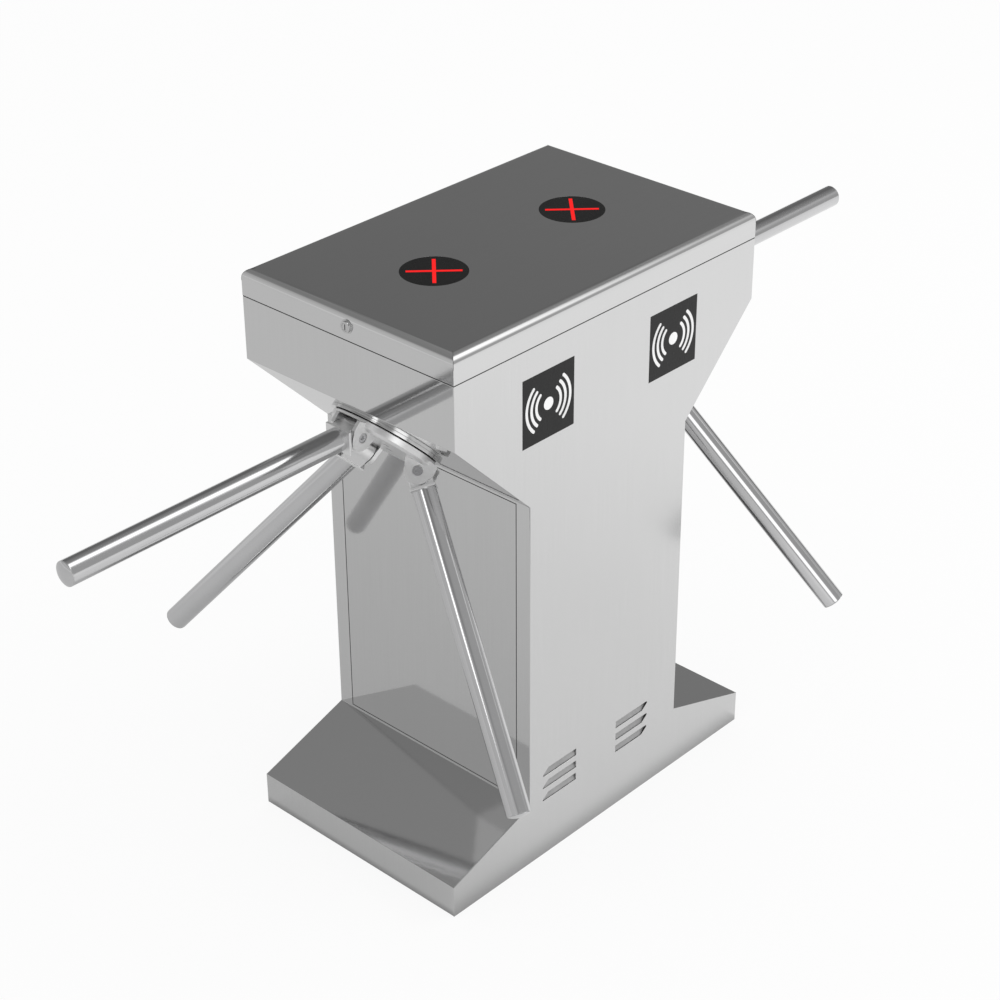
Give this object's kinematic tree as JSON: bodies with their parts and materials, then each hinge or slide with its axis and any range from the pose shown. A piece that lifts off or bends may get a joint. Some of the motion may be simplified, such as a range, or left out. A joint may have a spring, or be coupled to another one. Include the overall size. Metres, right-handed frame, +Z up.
{
  "type": "tripod turnstile",
  "caption": "Waisted steel turnstile cabinet with a tripod head and folding tube arms on the slanted face at each end, smoked reader windows and a hinged lid.",
  "frame": {"origin": "centre of the floor face, which is the middle of the box round the whole part", "axes": "+X along the cabinet from one head to the other, +Y from the pictured side to the far side, +Z up"},
  "size_m": [1.7296, 0.799, 0.98],
  "materials": {
    "stainless_panel": "satin, fine vertical grain",
    "stainless_lid": "satin, fine grain along the cabinet",
    "galvanised_steel": "zinc coated, semi-gloss",
    "polished_tube": "mirror polished",
    "hub_steel": "turned and bead blasted",
    "smoked_window": "smoked, glossy",
    "circuit_board": "solder mask with tinned pads",
    "terminal_plastic": "moulded",
    "screw_steel": "turned, dark",
    "cast_housing": "painted casting",
    "ground_steel": "ground",
    "bearing_steel": "polished races",
    "brass_gear": "hobbed",
    "hardened_steel": "hardened and blued",
    "solenoid_can": "enamelled",
    "damper_can": "black, semi-gloss",
    "spring_steel": "coiled wire",
    "lock_nickel": "nickel plated",
    "aluminium_case": "folded sheet",
    "indicator_red": "lit red light guide",
    "white_print": "printed behind the window",
    "black_seal": "sponge seal"
  },
  "bodies": {
    "cabinet": {"base_plate": "galvanised_steel", "front_panel": "stainless_panel", "rear_panel": "stainless_panel", "left_end_skin": "stainless_panel", "right_end_skin": "stainless_panel", "top_rim": "galvanised_steel", "panel_clips": "galvanised_steel", "reader_windows": "smoked_window", "reader_boards": "circuit_board", "electronics_panel": "galvanised_steel", "control_board": "circuit_board", "power_supply": "aluminium_case", "terminal_block": "terminal_plastic", "lid_hinges": "ground_steel", "hub_flanges": "hub_steel", "flange_screws": "screw_steel", "carrier_plates": "galvanised_steel", "bearing_housings": "cast_housing", "bearings": "bearing_steel", "dampers": "damper_can", "solenoids": "solenoid_can", "index_plungers": "ground_steel", "pawl_posts": "hardened_steel", "pawl_springs": "spring_steel", "sensor_boards": "circuit_board"},
    "lid": {"lid": "stainless_lid", "indicator_lenses": "smoked_window", "indicator_boards": "circuit_board", "lid_lock_body": "lock_nickel"},
    "lid_lock": {"lid_lock_plug": "lock_nickel"},
    "left_panel": {"left_access_panel": "stainless_panel"},
    "right_panel": {"right_access_panel": "stainless_panel"},
    "left_rotor": {"left_hub": "hub_steel", "left_hub_screws": "screw_steel", "left_arm_pins": "screw_steel", "left_shaft": "ground_steel", "left_drive_gear": "brass_gear", "left_ratchet_wheel": "hardened_steel"},
    "left_pinion": {"left_damper_pinion": "brass_gear"},
    "left_arm_top_fold": {"left_arm_top": "polished_tube"},
    "left_arm_rear_fold": {"left_arm_rear": "polished_tube"},
    "left_arm_front_fold": {"left_arm_front": "polished_tube"},
    "left_pawl_in_lever": {"left_pawl_in": "hardened_steel"},
    "left_plunger_in_rod": {"left_plunger_in": "ground_steel"},
    "left_pawl_out_lever": {"left_pawl_out": "hardened_steel"},
    "left_plunger_out_rod": {"left_plunger_out": "ground_steel"},
    "right_rotor": {"right_hub": "hub_steel", "right_hub_screws": "screw_steel", "right_arm_pins": "screw_steel", "right_shaft": "ground_steel", "right_drive_gear": "brass_gear", "right_ratchet_wheel": "hardened_steel"},
    "right_pinion": {"right_damper_pinion": "brass_gear"},
    "right_arm_top_fold": {"right_arm_top": "polished_tube"},
    "right_arm_rear_fold": {"right_arm_rear": "polished_tube"},
    "right_arm_front_fold": {"right_arm_front": "polished_tube"},
    "right_pawl_in_lever": {"right_pawl_in": "hardened_steel"},
    "right_plunger_in_rod": {"right_plunger_in": "ground_steel"},
    "right_pawl_out_lever": {"right_pawl_out": "hardened_steel"},
    "right_plunger_out_rod": {"right_plunger_out": "ground_steel"}
  },
  "joints": [
    {"name": "lid_hinge", "type": "hinge", "parent": "cabinet", "child": "lid", "pos_m": [0.3455, 0, 0.936], "axis": [0, 1, 0], "range_deg": [0, 80]},
    {"name": "lid_lock_turn", "type": "hinge", "parent": "lid", "child": "lid_lock", "pos_m": [-0.34, -0.007, 0.959], "axis": [1, 0, 0], "range_deg": [0, 90]},
    {"name": "left_panel_pull", "type": "slide", "parent": "cabinet", "child": "left_panel", "axis": [-1, 0, 0], "range_m": [0, 0.02]},
    {"name": "right_panel_pull", "type": "slide", "parent": "cabinet", "child": "right_panel", "axis": [1, 0, 0], "range_m": [0, 0.02]},
    {"name": "left_rotor_spin", "type": "hinge", "parent": "cabinet", "child": "left_rotor", "pos_m": [-0.261, 0, 0.752], "axis": [-0.7071, 0, -0.7071], "continuous": true},
    {"name": "left_pinion_spin", "type": "hinge", "parent": "cabinet", "child": "left_pinion", "pos_m": [-0.18534, 0.064, 0.82766], "axis": [-0.7071, 0, -0.7071], "continuous": true},
    {"name": "left_top_arm_drop", "type": "hinge", "parent": "left_rotor", "child": "left_arm_top_fold", "pos_m": [-0.33383, 0, 0.78099], "axis": [0, -1, 0], "range_deg": [0, 90]},
    {"name": "left_rear_arm_drop", "type": "hinge", "parent": "left_rotor", "child": "left_arm_rear_fold", "pos_m": [-0.25746, 0.06235, 0.70462], "axis": [-0.6124, 0.5, 0.6124], "range_deg": [0, 18]},
    {"name": "left_front_arm_drop", "type": "hinge", "parent": "left_rotor", "child": "left_arm_front_fold", "pos_m": [-0.25746, -0.06235, 0.70462], "axis": [0.6124, 0.5, -0.6124], "range_deg": [0, 18]},
    {"name": "left_pawl_in_turn", "type": "hinge", "parent": "cabinet", "child": "left_pawl_in_lever", "pos_m": [-0.14079, 0.04372, 0.80433], "axis": [0.7071, 0, 0.7071], "range_deg": [0, 9], "stiffness_Nm_per_rad": 0.5, "springref_deg": -5.73},
    {"name": "left_plunger_in_push", "type": "slide", "parent": "cabinet", "child": "left_plunger_in_rod", "axis": [0, 1, 0], "range_m": [0, 0.004]},
    {"name": "left_pawl_out_turn", "type": "hinge", "parent": "cabinet", "child": "left_pawl_out_lever", "pos_m": [-0.14079, -0.04372, 0.80433], "axis": [-0.7071, 0, -0.7071], "range_deg": [0, 9], "stiffness_Nm_per_rad": 0.5, "springref_deg": -5.73},
    {"name": "left_plunger_out_push", "type": "slide", "parent": "cabinet", "child": "left_plunger_out_rod", "axis": [0, -1, 0], "range_m": [0, 0.004]},
    {"name": "right_rotor_spin", "type": "hinge", "parent": "cabinet", "child": "right_rotor", "pos_m": [0.261, 0, 0.752], "axis": [0.7071, 0, -0.7071], "continuous": true},
    {"name": "right_pinion_spin", "type": "hinge", "parent": "cabinet", "child": "right_pinion", "pos_m": [0.18534, -0.064, 0.82766], "axis": [0.7071, 0, -0.7071], "continuous": true},
    {"name": "right_top_arm_drop", "type": "hinge", "parent": "right_rotor", "child": "right_arm_top_fold", "pos_m": [0.33383, 0, 0.78099], "axis": [0, 1, 0], "range_deg": [0, 90]},
    {"name": "right_rear_arm_drop", "type": "hinge", "parent": "right_rotor", "child": "right_arm_rear_fold", "pos_m": [0.25746, 0.06235, 0.70462], "axis": [-0.6124, -0.5, -0.6124], "range_deg": [0, 18]},
    {"name": "right_front_arm_drop", "type": "hinge", "parent": "right_rotor", "child": "right_arm_front_fold", "pos_m": [0.25746, -0.06235, 0.70462], "axis": [0.6124, -0.5, 0.6124], "range_deg": [0, 18]},
    {"name": "right_pawl_in_turn", "type": "hinge", "parent": "cabinet", "child": "right_pawl_in_lever", "pos_m": [0.14079, -0.04372, 0.80433], "axis": [-0.7071, 0, 0.7071], "range_deg": [0, 9], "stiffness_Nm_per_rad": 0.5, "springref_deg": -5.73},
    {"name": "right_plunger_in_push", "type": "slide", "parent": "cabinet", "child": "right_plunger_in_rod", "axis": [0, -1, 0], "range_m": [0, 0.004]},
    {"name": "right_pawl_out_turn", "type": "hinge", "parent": "cabinet", "child": "right_pawl_out_lever", "pos_m": [0.14079, 0.04372, 0.80433], "axis": [0.7071, 0, -0.7071], "range_deg": [0, 9], "stiffness_Nm_per_rad": 0.5, "springref_deg": -5.73},
    {"name": "right_plunger_out_push", "type": "slide", "parent": "cabinet", "child": "right_plunger_out_rod", "axis": [0, 1, 0], "range_m": [0, 0.004]}
  ],
  "couplings": [
    {"joint": "left_pinion_spin", "follows": "left_rotor_spin", "ratio": -3},
    {"joint": "left_plunger_in_push", "follows": "left_pawl_in_turn", "m_per_rad": 0.024},
    {"joint": "left_plunger_out_push", "follows": "left_pawl_out_turn", "m_per_rad": 0.024},
    {"joint": "right_pinion_spin", "follows": "right_rotor_spin", "ratio": -3},
    {"joint": "right_plunger_in_push", "follows": "right_pawl_in_turn", "m_per_rad": 0.024},
    {"joint": "right_plunger_out_push", "follows": "right_pawl_out_turn", "m_per_rad": 0.024}
  ]
}
